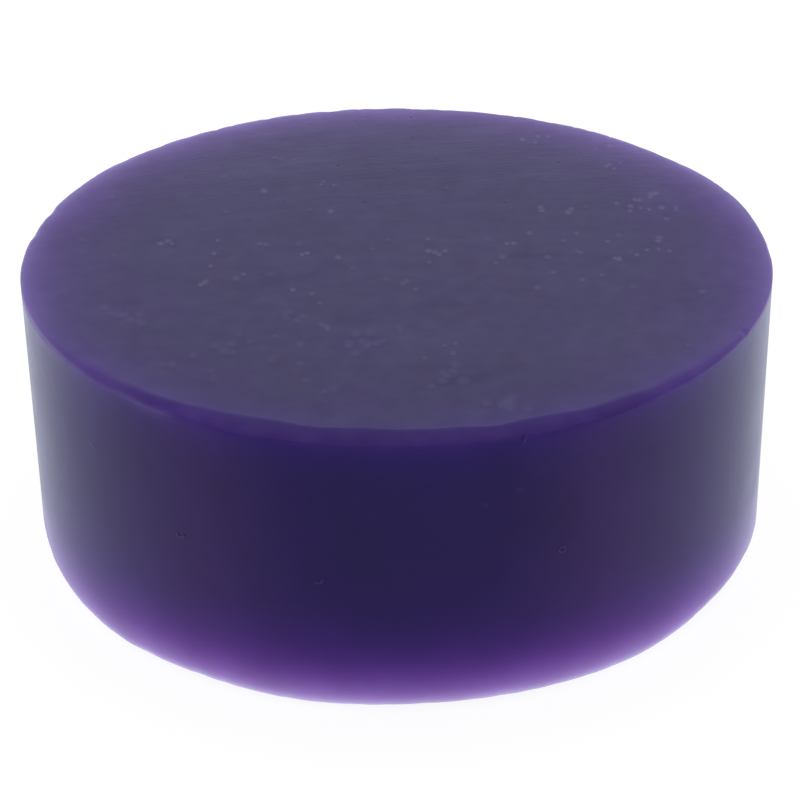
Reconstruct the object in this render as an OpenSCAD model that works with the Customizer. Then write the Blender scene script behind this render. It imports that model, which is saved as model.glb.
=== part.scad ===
// A round puck of cast glycerine soap, as used with a shaving brush.
// It is one homogeneous casting: a straight moulded wall, a rounded edge round the base,
// and a flat face on top where the puck was sliced and its sharp rim rubbed soft.
// Millimetres, +Z up, origin at the centre of the base.

/* [Puck] */
// Diameter of the straight wall
puck_d = 63.5; // [45:0.5:90]
// Height from the base to the cut face
puck_h = 25.4; // [15:0.1:40]

/* [Edges] */
// Radius of the moulded edge round the base
base_edge_r = 2; // [0.5:0.1:4]
// Width of the rubbed rim, measured in from the wall
rim_edge_w = 0.3; // [0.1:0.05:2]
// Height of the rubbed rim, measured down from the cut face
rim_edge_h = 0.3; // [0.1:0.05:2]

/* [Colour] */
// Red, green and blue of the dyed soap, each from 0 to 1
soap_colour = [0.16, 0.13, 0.29]; // [0:0.01:1]

/* [Hidden] */
$fn = 96;
puck_r = puck_d / 2;
wall_top_z = puck_h - rim_edge_h;
base_flat_r = puck_r - base_edge_r;
cut_face_r = puck_r - rim_edge_w;

// Half of the puck's section, right of its axis. The quarter round at the base is a true arc.
module half_section() {
    square([base_flat_r, wall_top_z]);
    translate([0, base_edge_r])
        square([puck_r, wall_top_z - base_edge_r]);
    intersection() {
        translate([base_flat_r, base_edge_r])
            circle(r = base_edge_r);
        square([puck_r, base_edge_r]);
    }
    polygon([[0, wall_top_z], [puck_r, wall_top_z], [cut_face_r, puck_h], [0, puck_h]]);
}

// The whole casting.
module soap_puck() {
    color(soap_colour)
        rotate_extrude()
            half_section();
}

soap_puck();
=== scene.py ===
"""A round puck of translucent violet shaving soap, with the drag lines of its slicing, its worn
edges and the air bubbles caught in it, standing in a plain white studio.

Sizes are in millimetres and azimuths in degrees from +X, unless a name says otherwise.
"""

import logging
import math
import random
from dataclasses import dataclass
from enum import Enum

import bmesh
import bpy
from mathutils import Matrix, Vector, noise


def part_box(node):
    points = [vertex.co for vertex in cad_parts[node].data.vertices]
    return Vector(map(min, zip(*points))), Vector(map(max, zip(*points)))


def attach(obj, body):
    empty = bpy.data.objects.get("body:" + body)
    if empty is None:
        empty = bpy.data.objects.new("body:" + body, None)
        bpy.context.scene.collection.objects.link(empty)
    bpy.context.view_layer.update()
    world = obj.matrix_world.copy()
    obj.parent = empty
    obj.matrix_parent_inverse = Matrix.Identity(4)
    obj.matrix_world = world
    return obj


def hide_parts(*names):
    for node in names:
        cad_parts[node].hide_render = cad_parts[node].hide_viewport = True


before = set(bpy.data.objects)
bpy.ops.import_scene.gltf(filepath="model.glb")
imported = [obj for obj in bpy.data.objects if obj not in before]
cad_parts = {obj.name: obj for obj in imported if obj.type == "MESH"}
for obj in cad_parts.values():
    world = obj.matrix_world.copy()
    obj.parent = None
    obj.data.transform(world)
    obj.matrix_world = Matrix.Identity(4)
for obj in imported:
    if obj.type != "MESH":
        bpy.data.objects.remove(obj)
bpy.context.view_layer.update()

MM = 0.001
NODE = "soap_puck"
BODY = "root"
PALE = "pale"
LENS_CROWN = 0.006
LENS_FADE = 0.85
RING_CROWN = 0.3

Colour = tuple[float, float, float]
log = logging.getLogger("soap_puck")


class Tint(Enum):
    """How strongly a bubble or a speck pales the soap, or below 0 how it darkens it."""

    BRIGHT = 0.50
    DIM = 0.32
    FAINT = 0.16
    TRACE = 0.05
    DARK = -0.16


def swell(offset: float, reach: float) -> float:
    """A smooth bump, 1 at its middle and 0 from its reach outward.

    Args:
        offset: Distance from the bump's middle.
        reach: Distance at which it has died away.

    Returns:
        The bump's height there, from 0 to 1.
    """
    share = min(1.0, abs(offset) / reach)
    return (1.0 - share * share) ** 2


def turn_between(a: float, b: float) -> float:
    """The signed angle from azimuth b to azimuth a, from -180 to 180 degrees."""
    return (a - b + 180.0) % 360.0 - 180.0


def between_corners(corners: tuple[tuple[float, float], ...], azimuth: float) -> float:
    """A size round the puck that runs straight from each corner to the next.

    Args:
        corners: Azimuths in rising order, each with its size.
        azimuth: Where it is wanted.

    Returns:
        The size there.
    """
    ahead = [turn_between(azimuth, corner) % 360.0 for corner, _ in corners]
    last = min(range(len(ahead)), key=lambda i: ahead[i])
    start, small = corners[last]
    end, large = corners[(last + 1) % len(corners)]
    return small + (large - small) * ahead[last] / ((end - start) % 360.0)


# ---------------------------------------------------------------- shader nodes


@dataclass
class Web:
    """A node tree that is built one small sum at a time."""

    tree: bpy.types.NodeTree

    def node(self, kind: str, **settings: object) -> bpy.types.Node:
        """Adds a node.

        Args:
            kind: The node's type name.
            settings: Values for the node's own properties.

        Returns:
            The new node.
        """
        made = self.tree.nodes.new(kind)
        for name, value in settings.items():
            setattr(made, name, value)
        return made

    def feed(self, socket: bpy.types.NodeSocket, value: object) -> None:
        """Links a socket to another one, or sets it to a plain value."""
        if isinstance(value, bpy.types.NodeSocket):
            self.tree.links.new(value, socket)
        else:
            socket.default_value = value

    def math(self, operation: str, *values: object) -> bpy.types.NodeSocket:
        """Adds a scalar sum.

        Args:
            operation: The Math node's operation.
            values: Its inputs in order, each a socket or a number.

        Returns:
            The result's socket.
        """
        made = self.node("ShaderNodeMath", operation=operation)
        for socket, value in zip(made.inputs, values):
            self.feed(socket, value)
        return made.outputs[0]

    def vector(self, operation: str, *values: object) -> bpy.types.Node:
        """Adds a vector sum.

        Args:
            operation: The Vector Math node's operation.
            values: Its inputs in order, each a socket or three numbers.

        Returns:
            The new node, whose outputs are Vector and Value.
        """
        made = self.node("ShaderNodeVectorMath", operation=operation)
        for socket, value in zip(made.inputs, values):
            self.feed(socket, value)
        return made

    def join(self, x: object, y: object, z: object) -> bpy.types.NodeSocket:
        """Puts three numbers together as one vector."""
        made = self.node("ShaderNodeCombineXYZ")
        for socket, value in zip(made.inputs, (x, y, z)):
            self.feed(socket, value)
        return made.outputs[0]

    def between(self, value: object, low: float, high: float) -> bpy.types.NodeSocket:
        """Rises smoothly from 0 to 1 as a value goes from low to high."""
        made = self.node("ShaderNodeMapRange", interpolation_type="SMOOTHSTEP")
        self.feed(made.inputs["Value"], value)
        made.inputs["From Min"].default_value = low
        made.inputs["From Max"].default_value = high
        return made.outputs["Result"]

    def noise(self, place: object, scale: float, detail: float = 2.0) -> bpy.types.NodeSocket:
        """Adds a noise pattern.

        Args:
            place: The vector that it is read at.
            scale: Waves per unit of that vector.
            detail: Octaves of finer noise.

        Returns:
            The socket of its value, which averages about a half.
        """
        made = self.node("ShaderNodeTexNoise")
        self.feed(made.inputs["Vector"], place)
        made.inputs["Scale"].default_value = scale
        made.inputs["Detail"].default_value = detail
        return made.outputs[0]


# -------------------------------------------------------------------- finishes


@dataclass(frozen=True)
class PaintedGlow:
    """Painted light: the glow of white light that leaks in at an edge and is filtered by the dye on
    its way, painted into the base colour.

    Each colour fades by its own depth, so the painted glow is nearly white at the edge, then lilac,
    then deep violet. It is full from y = full backward, and front is its share from y = faint
    forward, so it is painted brighter toward the back, where more light shines through from behind.
    """

    strength: Colour
    depth: Colour
    front: float = 1.0
    faint: float = -30.0
    full: float = 30.0

    def build(
        self, web: Web, distance: bpy.types.NodeSocket, y: bpy.types.NodeSocket
    ) -> bpy.types.NodeSocket:
        """Adds the painted glow's nodes.

        Args:
            web: The material's nodes.
            distance: The distance from the edge, in millimetres.
            y: Place from the puck's front to its back.

        Returns:
            The socket of the glow's colour.
        """
        channels = []
        for strength, depth in zip(self.strength, self.depth):
            fade = web.math("EXPONENT", web.math("MULTIPLY", distance, -1.0 / depth))
            channels.append(web.math("MULTIPLY", fade, strength))
        glow = web.join(*channels)
        if self.front == 1.0:
            return glow
        backward = web.between(y, self.faint, self.full)
        share = web.math("MULTIPLY_ADD", backward, 1.0 - self.front, self.front)
        return web.vector("MULTIPLY", glow, web.join(share, share, share)).outputs[0]


@dataclass(frozen=True)
class Streak:
    """One scale of the fine drag lines: run along them, pitch across them, share of the whole."""

    run: float
    pitch: float
    share: float
    seed: float


@dataclass(frozen=True)
class SoapFinish:
    """Dyed glycerine soap: a deep violet body with a painted glow of light at its edges and a
    painted sheen toward the back of the face, a glossy cast skin and a duller sliced face with
    fine drag lines."""

    radius: float
    height: float
    bow: float
    bow_x: float
    body: Colour = (0.0120, 0.0056, 0.0640)
    air: Colour = (0.110, 0.105, 0.160)
    # Painted light: these glows paint into the base colour the light that shines through the bottom
    # edge, the rim, the sides, the front lip and the edge of the face.
    painted_base_glow: PaintedGlow = PaintedGlow((0.70, 0.80, 0.86), (1.75, 1.10, 2.35))
    painted_deep_glow: PaintedGlow = PaintedGlow((0.012, 0.002, 0.024), (5.00, 5.00, 6.00))
    painted_rim_glow: PaintedGlow = PaintedGlow((0.076, 0.088, 0.102), (1.90, 0.96, 2.05), front=0.0, full=22.0)
    painted_side_glow: PaintedGlow = PaintedGlow((0.046, 0.052, 0.044), (2.50, 2.50, 2.80), front=0.0, full=-2.0)
    painted_lip_glow: PaintedGlow = PaintedGlow((0.026, 0.002, 0.086), (1.00, 1.20, 1.80))
    painted_face_glow: PaintedGlow = PaintedGlow((0.030, 0.006, 0.066), (4.00, 4.00, 4.50), front=0.10, full=0.0)
    # Painted reflection: a pale grey sheen painted on the back of the sliced face, where it
    # reflects more light.
    painted_back_sheen: PaintedGlow = PaintedGlow((0.035, 0.034, 0.045), (8.00, 8.00, 8.00), front=0.0, faint=4.0)
    scatter_depth: Colour = (1.70, 1.05, 2.35)
    scatter_share: float = 0.6
    ior: float = 1.47
    face_fade: tuple[float, float] = (1.2, 0.7)
    side_slope: float = 3.0
    cloud_scale: float = 0.16
    cloud_depth: float = 0.50
    mottling: float = 0.24
    mottling_scale: float = 0.60
    wall_roughness: float = 0.20
    face_roughness: float = 0.34
    handled: float = 0.12
    handled_scale: float = 0.25
    streaked: float = 0.25
    bump_height: float = 0.05
    drag_bump: float = 0.5
    skin_bump: float = 0.12
    skin_scale: float = 0.9
    sway: float = 0.9
    sway_scale: float = 0.25
    front_lines: float = 0.20
    full_lines_y: float = 20.0
    streaks: tuple[Streak, ...] = (
        Streak(7.0, 1.2, 0.55, 0.0),
        Streak(3.0, 0.42, 0.60, 4.0),
        Streak(0.5, 0.42, 0.50, 9.0),
    )

    def material(self, name: str, scatter_share: float) -> bpy.types.Material:
        """Makes one of the soap's materials.

        Args:
            name: The material's name.
            scatter_share: How much of its light is scattered below the surface.

        Returns:
            The material, whose patterns are all placed by Object coordinates.
        """
        made = bpy.data.materials.new(name)
        made.use_nodes = True
        web = Web(made.node_tree)
        shader = made.node_tree.nodes["Principled BSDF"]
        place = web.node("ShaderNodeTexCoord").outputs["Object"]
        place = web.vector("SCALE", place)
        place.inputs["Scale"].default_value = 1.0 / MM
        place = place.outputs[0]
        parts = web.node("ShaderNodeSeparateXYZ")
        web.feed(parts.inputs[0], place)
        x, y, z = parts.outputs

        start, full = self.face_fade
        on_face = web.between(z, self.height - start, self.height - full)
        lines = self.drag_lines(web, x, y)
        shader.inputs["IOR"].default_value = self.ior
        shader.inputs["Subsurface Weight"].default_value = scatter_share
        shader.inputs["Subsurface Radius"].default_value = self.scatter_depth
        shader.inputs["Subsurface Scale"].default_value = MM
        web.feed(shader.inputs["Base Color"], self.colour(web, place, x, y, z, lines, on_face))
        web.feed(shader.inputs["Roughness"], self.roughness(web, place, lines, on_face))
        web.feed(shader.inputs["Normal"], self.grain(web, place, lines, on_face))
        return made

    def drag_lines(
        self, web: Web, x: bpy.types.NodeSocket, y: bpy.types.NodeSocket
    ) -> bpy.types.NodeSocket:
        """Fine streaks along the slicing wire's path, which is bowed toward the back.

        Args:
            web: The material's nodes.
            x: Place across the puck.
            y: Place from its front to its back.

        Returns:
            The socket of the streaks' value, which averages about a half.
        """
        off = web.math("SUBTRACT", x, self.bow_x)
        bowed = web.math("MULTIPLY", web.math("MULTIPLY", off, off), self.bow)
        across = web.math("ADD", y, bowed)
        sway = web.math("SUBTRACT", web.noise(web.join(x, y, 2.0), self.sway_scale), 0.5)
        across = web.math("MULTIPLY_ADD", sway, self.sway, across)
        mixed = 0.5 * (1.0 - sum(streak.share for streak in self.streaks))
        for streak in self.streaks:
            spot = web.join(
                web.math("MULTIPLY", x, 1.0 / streak.run),
                web.math("MULTIPLY", across, 1.0 / streak.pitch),
                streak.seed,
            )
            mixed = web.math("MULTIPLY_ADD", web.noise(spot, 1.0), streak.share, mixed)
        backward = web.between(y, 0.0, self.full_lines_y)
        sharp = web.math("MULTIPLY_ADD", backward, 1.0 - self.front_lines, self.front_lines)
        return web.math("MULTIPLY_ADD", web.math("SUBTRACT", mixed, 0.5), sharp, 0.5)

    def colour(
        self,
        web: Web,
        place: bpy.types.NodeSocket,
        x: bpy.types.NodeSocket,
        y: bpy.types.NodeSocket,
        z: bpy.types.NodeSocket,
        lines: bpy.types.NodeSocket,
        on_face: bpy.types.NodeSocket,
    ) -> bpy.types.NodeSocket:
        """The body's violet with the painted glow of both edges, a painted sheen toward the back of
        the face and a slight cloudiness.

        Args:
            web: The material's nodes.
            place: Object coordinates in millimetres.
            x: Place across the puck.
            y: Place from its front to its back.
            z: Height above the base.
            lines: The drag lines' value.
            on_face: 1 on the sliced face and 0 on the wall.

        Returns:
            The socket of the colour.
        """
        spoke = web.vector("LENGTH", web.join(x, y, 0.0)).outputs["Value"]
        inward = web.math("MAXIMUM", web.math("SUBTRACT", self.radius, spoke), 0.0)
        flat = web.math("MULTIPLY", inward, inward)
        down = web.math("SUBTRACT", self.height, z)
        to_base = web.math("SQRT", web.math("ADD", flat, web.math("MULTIPLY", z, z)))
        to_rim = web.math("SQRT", web.math("ADD", flat, web.math("MULTIPLY", down, down)))
        to_side = web.math("MULTIPLY_ADD", inward, self.side_slope, down)

        # Painted light: glow through the face's edge and a painted sheen toward the back, on the
        # face only.
        painted_face_glow = self.painted_face_glow.build(web, inward, y)
        wide = web.vector("ADD", painted_face_glow, self.painted_back_sheen.build(web, inward, y))
        top_only = web.join(on_face, on_face, on_face)
        total = web.vector("MULTIPLY_ADD", wide.outputs[0], top_only, self.body).outputs[0]
        # Painted light: glow of the light shining through the base edge, rim, sides and front lip.
        for glow, distance in (
            (self.painted_base_glow, to_base),
            (self.painted_deep_glow, to_base),
            (self.painted_rim_glow, to_rim),
            (self.painted_side_glow, to_side),
            (self.painted_lip_glow, to_rim),
        ):
            total = web.vector("ADD", total, glow.build(web, distance, y)).outputs[0]

        uneven = web.math("ADD", lines, web.noise(place, self.mottling_scale, 4.0))
        uneven = web.math("MULTIPLY", web.math("SUBTRACT", uneven, 1.0), on_face)
        pale = web.node("ShaderNodeAttribute", attribute_name=PALE).outputs["Fac"]
        pale = web.math("MULTIPLY_ADD", uneven, self.mottling, pale)
        added = web.vector("MULTIPLY", web.join(pale, pale, pale), self.air).outputs[0]
        total = web.vector("ADD", total, added).outputs[0]
        total = web.vector("MAXIMUM", total, (0.0, 0.0, 0.0)).outputs[0]

        cloud = web.noise(place, self.cloud_scale, 3.0)
        shade = web.math("MULTIPLY_ADD", cloud, self.cloud_depth, 1.0 - self.cloud_depth / 2)
        return web.vector("MULTIPLY", total, web.join(shade, shade, shade)).outputs[0]

    def roughness(
        self,
        web: Web,
        place: bpy.types.NodeSocket,
        lines: bpy.types.NodeSocket,
        on_face: bpy.types.NodeSocket,
    ) -> bpy.types.NodeSocket:
        """Glossy on the cast skin, duller and streaked on the sliced face.

        Args:
            web: The material's nodes.
            place: Object coordinates in millimetres.
            lines: The drag lines' value.
            on_face: 1 on the sliced face and 0 on the wall.

        Returns:
            The socket of the roughness.
        """
        handled = web.math("SUBTRACT", web.noise(place, self.handled_scale), 0.5)
        skin = web.math("ADD", web.math("MULTIPLY", handled, self.handled), self.wall_roughness)
        rise = self.face_roughness - self.wall_roughness
        streak = web.math("MULTIPLY_ADD", web.math("SUBTRACT", lines, 0.5), self.streaked, rise)
        return web.math("MULTIPLY_ADD", streak, on_face, skin)

    def grain(
        self,
        web: Web,
        place: bpy.types.NodeSocket,
        lines: bpy.types.NodeSocket,
        on_face: bpy.types.NodeSocket,
    ) -> bpy.types.NodeSocket:
        """Relief too fine for the mesh: drag lines on the sliced face, a faint waxy skin elsewhere.

        Args:
            web: The material's nodes.
            place: Object coordinates in millimetres.
            lines: The drag lines' value.
            on_face: 1 on the sliced face and 0 on the wall.

        Returns:
            The socket of the bent normal.
        """
        skin = web.node("ShaderNodeBump")
        skin.inputs["Strength"].default_value = self.skin_bump
        skin.inputs["Distance"].default_value = self.bump_height * MM
        web.feed(skin.inputs["Height"], web.noise(place, self.skin_scale, 3.0))
        drag = web.node("ShaderNodeBump")
        drag.inputs["Strength"].default_value = self.drag_bump
        drag.inputs["Distance"].default_value = self.bump_height * MM
        web.feed(drag.inputs["Height"], web.math("MULTIPLY", lines, on_face))
        web.feed(drag.inputs["Normal"], skin.outputs[0])
        return drag.outputs[0]


# ------------------------------------------------------------------------ puck


@dataclass(frozen=True)
class DragWave:
    """One scale of the ridges that the slicing wire left."""

    run: float
    pitch: float
    depth: float
    seed: float


@dataclass(frozen=True)
class Smear:
    """A soft patch of the sliced face where the soap is a little paler, or below 0 darker."""

    x: float
    y: float
    long: float
    wide: float
    slope: float
    tone: float

    def at(self, x: float, y: float) -> float:
        """The patch's share of paleness at a place on the face."""
        along = x - self.x
        aside = y - self.y - self.slope * along
        return self.tone * swell(math.hypot(along / self.long, aside / self.wide), 1.0)


@dataclass(frozen=True)
class SlicedFace:
    """The flat on top: it leans a little, and its ridges follow the wire's bowed path."""

    drop: float = 0.22
    lean: float = 0.0069
    least: float = 0.01
    bow: float = 0.0040
    bow_x: float = 22.0
    mean_relief: float = 0.50
    relief_swing: float = 0.45
    relief_y: float = 8.0
    smears: tuple[Smear, ...] = (
        Smear(-9.9, -5.3, 6.0, 1.5, 0.42, -0.09),
        Smear(12.0, -0.9, 4.0, 1.1, 0.0, -0.09),
        Smear(18.2, -1.5, 4.0, 1.0, -0.2, -0.08),
        Smear(5.5, -22.5, 6.0, 1.2, 0.38, -0.09),
        Smear(23.2, -9.5, 3.0, 0.8, 0.1, -0.09),
        Smear(4.7, -10.0, 4.0, 1.0, 0.1, -0.06),
        Smear(4.9, 14.5, 1.2, 5.0, 0.0, -0.07),
        Smear(19.0, -17.0, 11.0, 7.0, 0.2, 0.05),
        Smear(-12.0, 18.0, 10.0, 4.0, 0.2, 0.04),
        Smear(2.0, -16.0, 9.0, 6.0, 0.1, 0.03),
    )
    waves: tuple[DragWave, ...] = (
        DragWave(26.0, 9.0, 0.050, 3.1),
        DragWave(9.0, 2.4, 0.014, 8.7),
        DragWave(6.0, 0.80, 0.003, 5.2),
    )

    def depth(self, x: float, y: float) -> float:
        """How far the face lies below the top of the casting's box.

        Args:
            x: Place across the puck.
            y: Place from its front to its back.

        Returns:
            The depth, which keeps the face just inside the box.
        """
        across = y + self.bow * (x - self.bow_x) ** 2
        depth = self.drop + self.lean * x
        backward = math.tanh((y - self.relief_y) / self.relief_y)
        sharp = self.mean_relief + self.relief_swing * backward
        for wave in self.waves:
            spot = Vector((x / wave.run, across / wave.pitch, wave.seed))
            depth += sharp * wave.depth * noise.noise(spot)
        return max(self.least, depth)

    def paleness(self, x: float, y: float) -> float:
        """How much paler the soap is at a place on the face."""
        return sum(smear.at(x, y) for smear in self.smears)


@dataclass(frozen=True)
class EdgeMark:
    """A place where an edge was pressed flat, nicked or swollen.

    reach is half its length along the edge. deep and tall are added to the edge's width and
    height, out to the wall's radius, and scuff is how much the edge is paled there: wear at the
    chips, and on the worn facet at the front left a painted glow of light scattering through it.
    """

    azimuth: float
    reach: float
    deep: float = 0.0
    tall: float = 0.0
    out: float = 0.0
    scuff_and_glow: float = 0.0


@dataclass(frozen=True)
class Puck:
    """The casting: a straight wall, a rounded base edge that is not quite even, and a worn rim."""

    radius: float
    height: float
    face: SlicedFace
    rows: int = 760
    columns: int = 64
    skin_gap: float = 0.004
    box_gap: float = 0.012
    shrinkage: float = 0.008
    rim_wander: float = 0.3
    nick: float = 0.13
    nick_azimuth: float = 90.0
    nick_reach: float = 60.0
    nick_scales: tuple[float, ...] = (0.6, 1.7)
    nick_rarity: float = 5.0
    rim_bend: float = 0.96
    rim_steps: int = 8
    wall_steps: int = 7
    wall_crowding: float = 1.8
    base_steps: int = 6
    base_wander: float = 0.12
    marks: tuple[EdgeMark, ...] = (
        EdgeMark(172.0, 1.7, deep=0.22, tall=0.20, scuff_and_glow=0.35),
        EdgeMark(164.0, 1.4, deep=0.20, tall=0.15, scuff_and_glow=0.25),
        # Painted light: this worn facet is paled as a painted glow of light scattering through it.
        EdgeMark(231.5, 4.0, tall=0.15, scuff_and_glow=0.30),
        EdgeMark(331.5, 0.7, deep=0.12, tall=0.15),
        EdgeMark(20.0, 9.0, out=0.20),
        EdgeMark(70.0, 9.0, out=-0.05),
        EdgeMark(145.0, 12.0, out=0.12),
        EdgeMark(189.0, 8.0, out=0.05),
        EdgeMark(352.0, 8.0, out=0.05),
    )
    rim_width: tuple[tuple[float, float], ...] = (
        (0.0, 0.30), (15.0, 0.10), (35.0, 0.10), (50.0, 0.20), (82.0, 0.26), (108.0, 0.08),
        (130.0, 0.08), (150.0, 0.12), (170.0, 0.40), (186.0, 0.22), (205.0, 0.30), (225.0, 0.60),
        (250.0, 1.45), (276.0, 1.50), (300.0, 0.90), (325.0, 0.40), (345.0, 0.35),
    )
    rim_height: tuple[tuple[float, float], ...] = (
        (20.0, 0.12), (50.0, 0.20), (82.0, 0.24), (108.0, 0.10), (150.0, 0.12), (170.0, 0.30),
        (186.0, 0.22), (215.0, 0.38), (232.0, 0.75), (248.0, 1.15), (285.0, 1.20), (303.0, 0.80),
        (325.0, 0.38), (345.0, 0.22),
    )
    base_edge: tuple[tuple[float, float], ...] = (
        (5.0, 2.1), (35.0, 1.7), (62.0, 2.3), (90.0, 1.9), (118.0, 2.2), (150.0, 1.6),
        (190.0, 2.5), (203.0, 1.85), (223.0, 1.4), (238.0, 1.95), (254.0, 1.65), (273.0, 2.15),
        (284.0, 2.1), (308.0, 1.55), (325.0, 2.2), (338.0, 2.05), (347.0, 1.5),
    )

    def build(self) -> bpy.types.Object:
        """Makes the puck's closed mesh.

        Returns:
            The object, at the origin.
        """
        shape = bmesh.new()
        shape.verts.layers.float.new(PALE)
        rim = self.lay_face(shape)
        for ring in self.section():
            rim = self.next_ring(shape, rim, ring)
        centre = bmesh.ops.contextual_create(shape, geom=rim)["faces"]
        bmesh.ops.poke(shape, faces=centre)
        bmesh.ops.recalc_face_normals(shape, faces=shape.faces)
        for face in shape.faces:
            face.smooth = True
        bmesh.ops.scale(shape, vec=(MM, MM, MM), verts=shape.verts)
        return finish_mesh(shape, "violet_soap_puck")

    def lay_face(self, shape: bmesh.types.BMesh) -> list[bmesh.types.BMEdge]:
        """Lays the sliced face as a grid drawn in to a disc, with its rows along the drag lines.

        Args:
            shape: The mesh it is added to.

        Returns:
            The edges round its outline.
        """
        bmesh.ops.create_grid(shape, x_segments=self.columns, y_segments=self.rows, size=1.0)
        pale = shape.verts.layers.float[PALE]
        for vert in shape.verts:
            turn = vert.co.y * math.pi / 2
            spot = Vector((vert.co.x * math.cos(turn), math.sin(turn)))
            azimuth = math.degrees(math.atan2(spot.y, spot.x))
            lip = self.outline(azimuth) - self.rim_size(azimuth)[0]
            spot *= self.radius + (lip - self.radius) * spot.length ** 4
            vert.co = (spot.x, spot.y, self.height - self.face.depth(spot.x, spot.y))
            vert[pale] = self.face.paleness(spot.x, spot.y)
        bmesh.ops.remove_doubles(shape, verts=shape.verts, dist=1e-6)
        return [edge for edge in shape.edges if edge.is_boundary]

    def along(self, azimuth: float, other: float) -> float:
        """How far round the wall an azimuth lies from another, in millimetres."""
        return math.radians(turn_between(azimuth, other)) * self.radius

    def outline(self, azimuth: float) -> float:
        """The wall's radius at an azimuth."""
        turn = math.radians(azimuth)
        spot = Vector((2.2 * math.cos(turn), 2.2 * math.sin(turn), 1.7))
        radius = self.radius - self.skin_gap * (2.0 + noise.noise(spot))
        for mark in self.marks:
            radius += mark.out * swell(self.along(azimuth, mark.azimuth), mark.reach)
        box = (self.radius - self.box_gap) / max(abs(math.cos(turn)), abs(math.sin(turn)))
        return min(radius, box)

    def rim_size(self, azimuth: float) -> tuple[float, float]:
        """How wide and how tall the worn rim is.

        Args:
            azimuth: Where along the rim.

        Returns:
            Its width inward and its height down the wall.
        """
        turn = math.radians(azimuth)
        spot = Vector((9.0 * math.cos(turn), 9.0 * math.sin(turn), 4.4))
        wander = 1.0 + self.rim_wander * noise.noise(spot)
        width = between_corners(self.rim_width, azimuth) * wander
        spot.z += 7.0
        wander = 1.0 + self.rim_wander * noise.noise(spot)
        height = between_corners(self.rim_height, azimuth) * wander
        rough = self.nick * swell(self.along(azimuth, self.nick_azimuth), self.nick_reach)
        for finer in self.nick_scales:
            nick = rough * max(0.0, 1.0 - self.nick_rarity * abs(noise.noise(spot * finer)))
            width += nick
            height += nick
        for mark in self.marks:
            there = swell(self.along(azimuth, mark.azimuth), mark.reach)
            width += mark.deep * there
            height += mark.tall * there
        return width, height

    def scuff_and_glow_at(self, azimuth: float) -> float:
        """How much the worn rim is paled at an azimuth, evenly over most of each mark: wear at the
        chips, and a painted glow on the worn facet.
        """
        return sum(
            mark.scuff_and_glow * min(1.0, 1.6 * swell(self.along(azimuth, mark.azimuth), mark.reach))
            for mark in self.marks
        )

    def base_size(self, azimuth: float) -> float:
        """The base edge's radius at an azimuth, with its fine unevenness."""
        turn = math.radians(azimuth)
        spot = Vector((22.0 * math.cos(turn), 22.0 * math.sin(turn), 6.3))
        return between_corners(self.base_edge, azimuth) + self.base_wander * noise.noise(spot)

    def section(self) -> list[tuple[str, float]]:
        """The rings below the sliced face, from the rim to the middle of the base.

        Returns:
            For each ring, the stretch it belongs to and its share of the way along it.
        """
        rings = []
        for stretch, steps, crowding in (
            ("rim", self.rim_steps, 1.0),
            ("wall", self.wall_steps, self.wall_crowding),
            ("edge", self.base_steps, 1.0),
        ):
            rings += [(stretch, (step / steps) ** crowding) for step in range(1, steps + 1)]
        return rings + [("floor", 0.5), ("floor", 0.9)]

    def next_ring(
        self,
        shape: bmesh.types.BMesh,
        edges: list[bmesh.types.BMEdge],
        ring: tuple[str, float],
    ) -> list[bmesh.types.BMEdge]:
        """Extrudes the open outline once more and puts the new ring in its place.

        Args:
            shape: The mesh.
            edges: The open outline.
            ring: The stretch and share that section gives.

        Returns:
            The new outline's edges.
        """
        made = bmesh.ops.extrude_edge_only(shape, edges=edges)["geom"]
        pale = shape.verts.layers.float[PALE]
        stretch, share = ring
        for vert in (item for item in made if isinstance(item, bmesh.types.BMVert)):
            turn = math.atan2(vert.co.y, vert.co.x)
            azimuth = math.degrees(turn)
            reach, z = self.ring_point(stretch, share, azimuth)
            vert.co = (reach * math.cos(turn), reach * math.sin(turn), z)
            # Paleness low on the rim at the marks: wear at the chips, and a painted glow on the
            # worn facet.
            low_on_rim = swell(share - 0.8, 0.35) if stretch == "rim" else 0.0
            vert[pale] = self.scuff_and_glow_at(azimuth) * low_on_rim
        return [item for item in made if isinstance(item, bmesh.types.BMEdge)]

    def ring_point(self, stretch: str, share: float, azimuth: float) -> tuple[float, float]:
        """Where a ring's point lies.

        Args:
            stretch: The stretch of the section.
            share: The share of the way along it.
            azimuth: The point's azimuth.

        Returns:
            Its distance from the axis and its height.
        """
        wall = self.outline(azimuth)
        width, tall = self.rim_size(azimuth)
        base = self.base_size(azimuth)
        turn = math.radians(azimuth)
        lip = wall - width
        face_z = self.height - self.face.depth(lip * math.cos(turn), lip * math.sin(turn))
        quarter = share * math.pi / 2
        if stretch == "rim":
            bend = self.rim_bend * (1.0 - share)
            inset = width * (1.0 - math.cos(bend)) / (1.0 - math.cos(self.rim_bend))
            return wall - inset, face_z - tall + tall * math.sin(bend) / math.sin(self.rim_bend)
        if stretch == "wall":
            top = face_z - tall
            z = top + (base - top) * share
            return self.wall_reach(azimuth, z), z
        if stretch == "edge":
            return wall - base + base * math.cos(quarter), base - base * math.sin(quarter)
        return (wall - base) * (1.0 - share), 0.0

    def wall_reach(self, azimuth: float, z: float) -> float:
        """The wall's distance from the axis, with the slight hollow that shrinkage left in it.

        Args:
            azimuth: Where round the wall.
            z: Height above the base.

        Returns:
            The distance, which is the outline's own at the top and bottom.
        """
        turn = math.radians(azimuth)
        spot = Vector((1.6 * math.cos(turn), 1.6 * math.sin(turn), z / 9.0))
        shrunk = swell(z - self.height / 2, self.height / 2) * self.shrinkage
        return self.outline(azimuth) - shrunk * (1.0 + noise.noise(spot))

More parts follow.
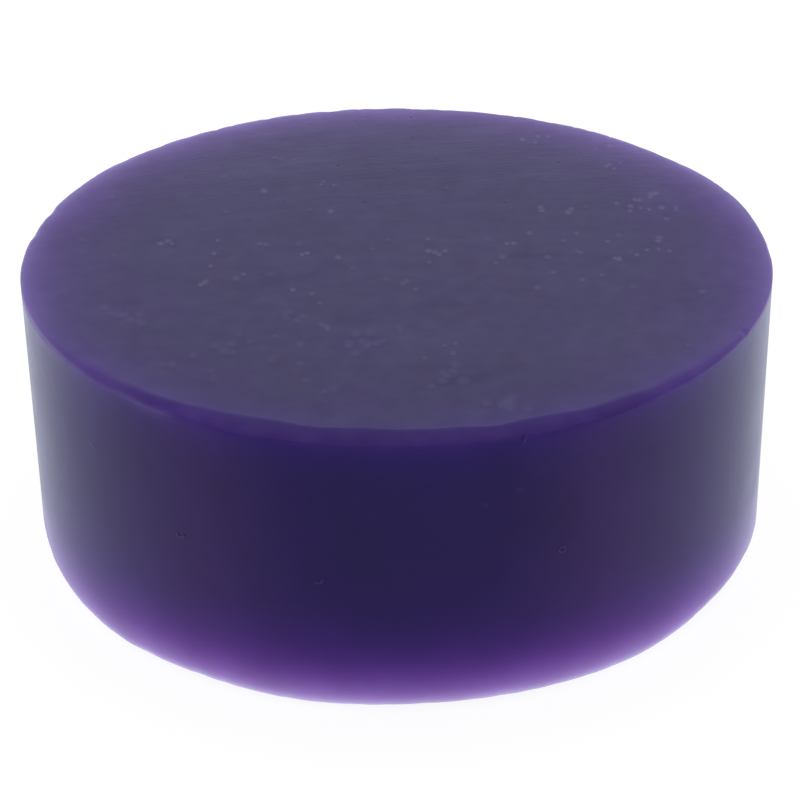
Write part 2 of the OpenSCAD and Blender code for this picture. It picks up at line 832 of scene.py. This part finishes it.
    def dress(self, piece: bpy.types.Object, soap: bpy.types.Material) -> None:
        """Gives the puck its material and its body, and hides the CAD node that it stands for."""
        piece.data.materials.append(soap)
        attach(piece, BODY)
        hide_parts(NODE)


def finish_mesh(shape: bmesh.types.BMesh, name: str) -> bpy.types.Object:
    """Turns a finished bmesh into an object in the scene.

    Args:
        shape: The mesh, which is freed.
        name: The object's name.

    Returns:
        The object, at the origin.
    """
    data = bpy.data.meshes.new(name)
    shape.to_mesh(data)
    shape.free()
    piece = bpy.data.objects.new(name, data)
    bpy.context.scene.collection.objects.link(piece)
    return piece


# ------------------------------------------------------------- bubbles and specks


def add_dome(
    shape: bmesh.types.BMesh, place: Matrix, wide: float, long: float, tint: Tint
) -> list[bmesh.types.BMVert]:
    """Adds a flat lens, nearly all sunk, that fades out from its middle.

    Args:
        shape: The mesh, which has the pale layer.
        place: Where its middle goes, with its Z outward.
        wide: Half its size along its own X.
        long: Half its size along its own Y.
        tint: How it shows.

    Returns:
        Its vertices.
    """
    pale = shape.verts.layers.float[PALE]
    made = bmesh.ops.create_uvsphere(shape, u_segments=8, v_segments=6, radius=1.0)["verts"]
    for vert in made:
        away = math.hypot(vert.co.x, vert.co.y)
        vert[pale] = tint.value * max(0.0, 1.0 - away / LENS_FADE) if vert.co.z > 0 else 0.0
        vert.co.z = 2.0 * vert.co.z - 1.0
    size = Matrix.Diagonal((wide, long, LENS_CROWN, 1.0))
    bmesh.ops.transform(shape, matrix=place @ size, verts=made)
    return made


def add_ring(
    shape: bmesh.types.BMesh, place: Matrix, radius: float, thick: float, arc: float, tint: Tint
) -> None:
    """Adds a thin ring or part of one, half sunk, that is palest along its crown.

    Args:
        shape: The mesh, which has the pale layer.
        place: Where its middle goes, with its Z outward.
        radius: Its radius, to the middle of its thickness.
        thick: Half its thickness.
        arc: How much of the turn it covers, in degrees, either side of its own -Y.
        tint: How it shows.
    """
    pale = shape.verts.layers.float[PALE]
    old = set(shape.verts)
    start = Matrix.Rotation(math.radians(-90.0 - arc / 2), 4, "Z")
    upright = Matrix.Translation((radius, 0.0, 0.0)) @ Matrix.Rotation(math.pi / 2, 4, "X")
    made = bmesh.ops.create_circle(shape, segments=6, radius=thick, matrix=start @ upright)["verts"]
    edges = list({edge for vert in made for edge in vert.link_edges})
    whole = arc >= 360.0
    bmesh.ops.spin(
        shape, geom=made + edges, cent=(0.0, 0.0, 0.0), axis=(0.0, 0.0, 1.0), dvec=(0.0, 0.0, 0.0),
        angle=math.radians(arc), steps=14, use_merge=whole, use_duplicate=False,
    )
    ring = [vert for vert in shape.verts if vert not in old]
    open_ends = {edge for vert in ring for edge in vert.link_edges if edge.is_boundary}
    bmesh.ops.holes_fill(shape, edges=list(open_ends))
    for vert in ring:
        vert[pale] = tint.value * max(0.0, vert.co.z / thick)
    flat = Matrix.Diagonal((1.0, 1.0, RING_CROWN, 1.0))
    bmesh.ops.transform(shape, matrix=place @ flat, verts=ring)


def dress_specks(shape: bmesh.types.BMesh, name: str, soap: bpy.types.Material) -> bpy.types.Object:
    """Finishes a mesh of bubbles or marks, which are the soap's own stuff and ride with it.

    Args:
        shape: The mesh, in millimetres.
        name: The piece's name.
        soap: The puck's material.

    Returns:
        The piece, at the origin.
    """
    bmesh.ops.recalc_face_normals(shape, faces=shape.faces)
    for face in shape.faces:
        face.smooth = True
    bmesh.ops.scale(shape, vec=(MM, MM, MM), verts=shape.verts)
    piece = finish_mesh(shape, name)
    piece.data.materials.append(soap)
    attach(piece, BODY)
    return piece


@dataclass(frozen=True)
class Cluster:
    """A group of bubbles that the slice opened close together. size is a bubble's radius."""

    x: float
    y: float
    spread: float
    count: int
    tint: Tint
    size: float = 0.42


@dataclass(frozen=True)
class FaceBubbles:
    """Small bubbles just under the sliced face, seen as soft pale spots, and a few dark specks."""

    puck: Puck
    seed: int = 11
    uneven: float = 0.25
    stretch: float = 1.4
    clear: float = 1.5
    clusters: tuple[Cluster, ...] = (
        Cluster(13.0, 23.4, 0.9, 5, Tint.BRIGHT, 0.36),
        Cluster(17.5, 21.4, 0.9, 3, Tint.DIM, 0.36),
        Cluster(20.4, 17.6, 0.8, 4, Tint.BRIGHT, 0.36),
        Cluster(20.8, 8.4, 0.8, 7, Tint.BRIGHT),
        Cluster(22.6, 11.0, 0.8, 4, Tint.BRIGHT),
        Cluster(24.0, 6.5, 1.2, 3, Tint.DIM),
        Cluster(12.7, 8.3, 0.4, 2, Tint.BRIGHT),
        Cluster(15.3, 7.7, 0.5, 2, Tint.BRIGHT),
        Cluster(11.5, 3.3, 0.1, 1, Tint.BRIGHT),
        Cluster(15.6, 3.2, 0.1, 1, Tint.BRIGHT),
        Cluster(18.0, 1.5, 0.1, 1, Tint.BRIGHT),
        Cluster(9.7, 1.5, 0.3, 2, Tint.BRIGHT),
        Cluster(22.0, 0.4, 0.8, 5, Tint.BRIGHT),
        Cluster(18.9, -1.4, 0.6, 4, Tint.BRIGHT),
        Cluster(14.8, -0.6, 1.1, 4, Tint.DIM),
        Cluster(13.5, -4.1, 0.9, 2, Tint.DIM),
        Cluster(8.8, -1.3, 0.9, 2, Tint.DIM),
        Cluster(17.2, -4.6, 0.1, 1, Tint.DIM),
        Cluster(3.7, 0.3, 0.6, 5, Tint.BRIGHT),
        Cluster(2.6, -2.0, 0.1, 1, Tint.DIM),
        Cluster(1.1, -5.5, 0.9, 3, Tint.DIM),
        Cluster(-6.6, -1.0, 0.8, 3, Tint.BRIGHT),
        Cluster(-11.2, 1.7, 0.7, 2, Tint.DIM),
        Cluster(-5.6, 8.1, 0.1, 1, Tint.BRIGHT),
        Cluster(-6.5, 14.4, 0.8, 3, Tint.BRIGHT, 0.36),
        Cluster(-11.9, 12.6, 0.2, 2, Tint.BRIGHT),
        Cluster(-10.2, 19.9, 0.5, 3, Tint.DIM, 0.36),
        Cluster(-15.5, 16.0, 0.1, 1, Tint.DIM),
        Cluster(-19.8, 1.9, 0.5, 4, Tint.BRIGHT),
        Cluster(-15.6, 2.4, 0.1, 1, Tint.BRIGHT),
        Cluster(-15.5, 0.0, 0.1, 1, Tint.BRIGHT),
        Cluster(-15.7, -2.5, 0.1, 1, Tint.BRIGHT),
        Cluster(-15.9, -5.6, 0.5, 3, Tint.BRIGHT),
        Cluster(-12.6, -3.7, 0.8, 2, Tint.DIM),
        Cluster(-8.6, -7.1, 0.1, 1, Tint.BRIGHT),
        Cluster(-6.2, -9.0, 0.9, 2, Tint.DIM),
        Cluster(-8.4, -11.6, 0.5, 5, Tint.FAINT, 0.60),
        Cluster(-5.9, -13.2, 0.4, 3, Tint.DIM),
        Cluster(-2.6, -16.5, 0.8, 11, Tint.FAINT, 0.60),
        Cluster(0.9, -13.8, 0.9, 2, Tint.FAINT),
        Cluster(-22.0, -11.1, 0.9, 9, Tint.FAINT, 0.60),
        Cluster(-11.5, -18.2, 1.8, 4, Tint.FAINT, 0.60),
        Cluster(2.1, -19.1, 0.1, 1, Tint.DIM),
        Cluster(4.4, -18.0, 0.8, 3, Tint.DIM),
        Cluster(4.3, -21.9, 0.9, 6, Tint.FAINT, 0.60),
        Cluster(-5.5, -23.6, 1.0, 4, Tint.FAINT, 0.60),
        Cluster(8.0, -26.3, 0.8, 7, Tint.FAINT, 0.70),
        Cluster(-14.5, -19.5, 3.0, 9, Tint.FAINT, 0.60),
        Cluster(11.6, -7.1, 0.1, 1, Tint.DIM),
        Cluster(25.1, -7.9, 0.1, 1, Tint.DIM),
        Cluster(-25.0, 5.0, 3.0, 4, Tint.FAINT),
        Cluster(0.0, 0.0, 14.0, 30, Tint.FAINT),
        Cluster(-2.7, 10.3, 0.1, 1, Tint.DARK, 0.32),
        Cluster(0.0, 17.5, 0.3, 2, Tint.DARK, 0.36),
        Cluster(1.8, 24.8, 0.2, 2, Tint.DARK, 0.36),
        Cluster(4.5, 19.9, 0.2, 1, Tint.DARK, 0.34),
        Cluster(9.7, 10.1, 0.1, 1, Tint.DARK, 0.32),
        Cluster(-3.6, 28.3, 0.2, 2, Tint.DARK, 0.36),
        Cluster(-7.8, 28.1, 0.1, 1, Tint.DARK, 0.34),
        Cluster(-10.0, 10.7, 0.1, 1, Tint.DARK, 0.32),
    )

    def build(self, soap: bpy.types.Material) -> bpy.types.Object:
        """Makes all the bubbles as lenses that lie in the face, in one mesh.

        Args:
            soap: The puck's material.

        Returns:
            The piece, at the origin.
        """
        dice = random.Random(self.seed)
        shape = bmesh.new()
        shape.verts.layers.float.new(PALE)
        for cluster in self.clusters:
            for _ in range(cluster.count):
                x = dice.gauss(cluster.x, cluster.spread)
                y = dice.gauss(cluster.y, cluster.spread)
                size = cluster.size * dice.uniform(1.0 - self.uneven, 1.0 + self.uneven)
                if math.hypot(x, y) > self.puck.radius - self.clear:
                    continue
                place = Matrix.Translation((x, y, 0.0))
                for vert in add_dome(shape, place, size, self.stretch * size, cluster.tint):
                    vert.co.z += self.puck.height - self.puck.face.depth(vert.co.x, vert.co.y)
        return dress_specks(shape, "face_bubbles", soap)


@dataclass(frozen=True)
class WallMark:
    """A bubble, scratch or speck in the moulded wall.

    An arc of 0 makes a dome of wide by long, and any other makes a ring of radius wide and half
    thickness long. turn leans it, clockwise as seen from outside.
    """

    azimuth: float
    z: float
    wide: float
    long: float
    tint: Tint
    arc: float = 0.0
    turn: float = 0.0


@dataclass(frozen=True)
class WallMarks:
    """The few marks in the wall: two ringed bubbles, three crescents, a scratch and some specks."""

    puck: Puck
    marks: tuple[WallMark, ...] = (
        WallMark(-66.9, 13.7, 0.27, 0.11, Tint.TRACE, arc=360.0),
        WallMark(-60.5, 9.3, 0.36, 0.36, Tint.TRACE),
        WallMark(-122.7, 14.1, 0.34, 0.13, Tint.TRACE, arc=170.0),
        WallMark(-101.6, 12.5, 0.36, 0.11, Tint.TRACE, arc=140.0, turn=-25.0),
        WallMark(-101.4, 5.5, 0.26, 0.26, Tint.TRACE),
        WallMark(-72.8, 24.2, 0.16, 0.42, Tint.TRACE, turn=25.0),
        WallMark(-86.8, 5.7, 0.06, 0.85, Tint.TRACE),
        WallMark(-19.9, 3.7, 0.20, 0.16, Tint.DARK),
        WallMark(-78.3, 19.0, 0.42, 0.36, Tint.TRACE),
        WallMark(-73.4, 19.9, 0.40, 0.34, Tint.TRACE),
        WallMark(-140.0, 18.5, 0.50, 0.40, Tint.TRACE),
        WallMark(56.0, 11.0, 0.26, 0.10, Tint.TRACE, arc=360.0),
        WallMark(97.0, 16.5, 0.40, 0.34, Tint.TRACE),
        WallMark(131.0, 8.0, 0.34, 0.12, Tint.TRACE, arc=160.0, turn=15.0),
    )

    def build(self, soap: bpy.types.Material) -> bpy.types.Object:
        """Makes the marks in one mesh.

        Args:
            soap: The puck's material.

        Returns:
            The piece, at the origin.
        """
        shape = bmesh.new()
        shape.verts.layers.float.new(PALE)
        for mark in self.marks:
            place = self.on_wall(mark)
            if mark.arc:
                add_ring(shape, place, mark.wide, mark.long, mark.arc, mark.tint)
            else:
                add_dome(shape, place, mark.wide, mark.long, mark.tint)
        return dress_specks(shape, "wall_marks", soap)

    def on_wall(self, mark: WallMark) -> Matrix:
        """The place of a mark: on the wall, with its Z outward and its Y up."""
        reach = self.puck.wall_reach(mark.azimuth, mark.z)
        around = Matrix.Rotation(math.radians(mark.azimuth + 90.0), 4, "Z")
        outward = Matrix.Translation((0.0, -reach, mark.z)) @ Matrix.Rotation(math.pi / 2, 4, "X")
        return around @ outward @ Matrix.Rotation(math.radians(-mark.turn), 4, "Z")


# ---------------------------------------------------------------------- studio


@dataclass(frozen=True)
class Sheen:
    """What glossy surfaces show of the tent in one direction, overhead or from below.

    toward is -1 straight behind the puck, 0 overhead and 1 on the viewer's side.
    """

    toward: float
    colour: Colour


@dataclass(frozen=True)
class Studio:
    """A white tent, brightest behind the puck, on a lit white floor."""

    floor_size: float = 6000.0
    floor_colour: Colour = (0.20, 0.20, 0.20)
    floor_light: float = 0.85
    tent_light: float = 1.05
    behind: float = 0.35
    roof: tuple[Sheen, ...] = (
        Sheen(-0.9, (0.64, 0.63, 0.86)),
        Sheen(-0.6, (0.62, 0.57, 0.82)),
        Sheen(-0.25, (0.59, 0.43, 0.76)),
        Sheen(0.4, (0.49, 0.36, 0.64)),
        Sheen(0.9, (0.33, 0.26, 0.43)),
    )
    bounce: tuple[Sheen, ...] = (
        Sheen(-0.9, (0.78, 0.83, 0.95)),
        Sheen(-0.4, (0.70, 0.69, 0.94)),
        Sheen(0.0, (0.68, 0.61, 0.87)),
        Sheen(0.38, (0.66, 0.47, 0.78)),
        Sheen(0.75, (0.26, 0.25, 0.33)),
    )
    elevation: float = 29.39
    roll: float = 0.84
    distance: float = 216.0
    focal: float = 110.33
    aim: tuple[float, float, float] = (0.12, 0.0, 10.67)

    def build_floor(self) -> None:
        """Lays the floor, which shows in no reflection so that the wall's face stays deep."""
        shape = bmesh.new()
        bmesh.ops.create_grid(shape, x_segments=1, y_segments=1, size=self.floor_size * MM / 2)
        floor = finish_mesh(shape, "floor")
        made = bpy.data.materials.new("white_floor")
        made.use_nodes = True
        shader = made.node_tree.nodes["Principled BSDF"]
        shader.inputs["Base Color"].default_value = (*self.floor_colour, 1.0)
        shader.inputs["Roughness"].default_value = 1.0
        shader.inputs["Specular IOR Level"].default_value = 0.0
        shader.inputs["Emission Color"].default_value = (1.0, 1.0, 1.0, 1.0)
        shader.inputs["Emission Strength"].default_value = self.floor_light
        floor.data.materials.append(made)
        floor.visible_glossy = False

    def light(self) -> None:
        """Lights the tent: soft and white, with its own tones in what glossy surfaces show."""
        world = bpy.data.worlds.new("tent")
        world.use_nodes = True
        bpy.context.scene.world = world
        web = Web(world.node_tree)
        sky = web.node("ShaderNodeSeparateXYZ")
        web.feed(sky.inputs[0], web.node("ShaderNodeTexCoord").outputs["Generated"])
        even = world.node_tree.nodes["Background"]
        even.inputs["Color"].default_value = (1.0, 1.0, 1.0, 1.0)
        spread = web.math("MULTIPLY_ADD", sky.outputs[1], self.behind, self.tent_light)
        web.feed(even.inputs["Strength"], spread)

        shown = web.node("ShaderNodeBackground")
        above = web.between(sky.outputs[2], -0.2, 0.2)
        below = self.build_sheen(web, sky.outputs[1], self.bounce)
        step = web.vector("SUBTRACT", self.build_sheen(web, sky.outputs[1], self.roof), below)
        both = web.vector("MULTIPLY_ADD", step.outputs[0], web.join(above, above, above), below)
        web.feed(shown.inputs["Color"], both.outputs[0])
        path = web.node("ShaderNodeLightPath")
        chosen = web.node("ShaderNodeMixShader")
        web.feed(chosen.inputs[0], path.outputs["Is Glossy Ray"])
        web.feed(chosen.inputs[1], even.outputs[0])
        web.feed(chosen.inputs[2], shown.outputs[0])
        web.feed(world.node_tree.nodes["World Output"].inputs["Surface"], chosen.outputs[0])

    def build_sheen(
        self, web: Web, behind: bpy.types.NodeSocket, tones: tuple[Sheen, ...]
    ) -> bpy.types.NodeSocket:
        """Adds the colours that glossy surfaces show.

        Args:
            web: The world's nodes.
            behind: How far a direction points behind the puck, from -1 to 1.
            tones: The colours in order, from behind the puck to the viewer's side.

        Returns:
            The socket of the colour.
        """
        ramp = web.node("ShaderNodeValToRGB")
        web.feed(ramp.inputs[0], web.math("MULTIPLY_ADD", behind, -0.5, 0.5))
        stops = ramp.color_ramp.elements
        while len(stops) < len(tones):
            stops.new(0.5)
        for stop, tone in zip(stops, tones):
            stop.position = (tone.toward + 1.0) / 2
            stop.color = (*tone.colour, 1.0)
        return ramp.outputs[0]

    def place_camera(self) -> None:
        """Puts the camera in front, looking down at the puck, with no depth of field."""
        data = bpy.data.cameras.new("camera")
        data.lens = self.focal
        data.sensor_width = 36.0
        data.clip_start = 0.01
        data.clip_end = 20.0
        camera = bpy.data.objects.new("camera", data)
        bpy.context.scene.collection.objects.link(camera)
        tilt = math.radians(90.0 - self.elevation)
        turn = Matrix.Rotation(tilt, 4, "X") @ Matrix.Rotation(-math.radians(self.roll), 4, "Z")
        back = turn @ Vector((0.0, 0.0, self.distance))
        camera.matrix_world = Matrix.Translation((Vector(self.aim) + back) * MM) @ turn
        bpy.context.scene.camera = camera
        bpy.context.scene.view_settings.view_transform = "Standard"


def main() -> None:
    """Builds the puck, its bubbles and the studio."""
    logging.basicConfig(level=logging.INFO, format="%(name)s: %(message)s")
    low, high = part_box(NODE)
    radius = (high[0] - low[0]) / 2 / MM
    height = (high[2] - low[2]) / MM
    studio = Studio()
    studio.place_camera()
    studio.build_floor()
    studio.light()

    puck = Puck(radius, height, SlicedFace())
    finish = SoapFinish(radius, height, puck.face.bow, puck.face.bow_x)
    casting = puck.build()
    puck.dress(casting, finish.material("violet_glycerine_soap", finish.scatter_share))
    air = finish.material("soap_over_trapped_air", 0.0)
    for piece in (casting, FaceBubbles(puck).build(air), WallMarks(puck).build(air)):
        log.info("%s: %d faces", piece.name, len(piece.data.polygons))


if __name__ == "__main__":
    main()
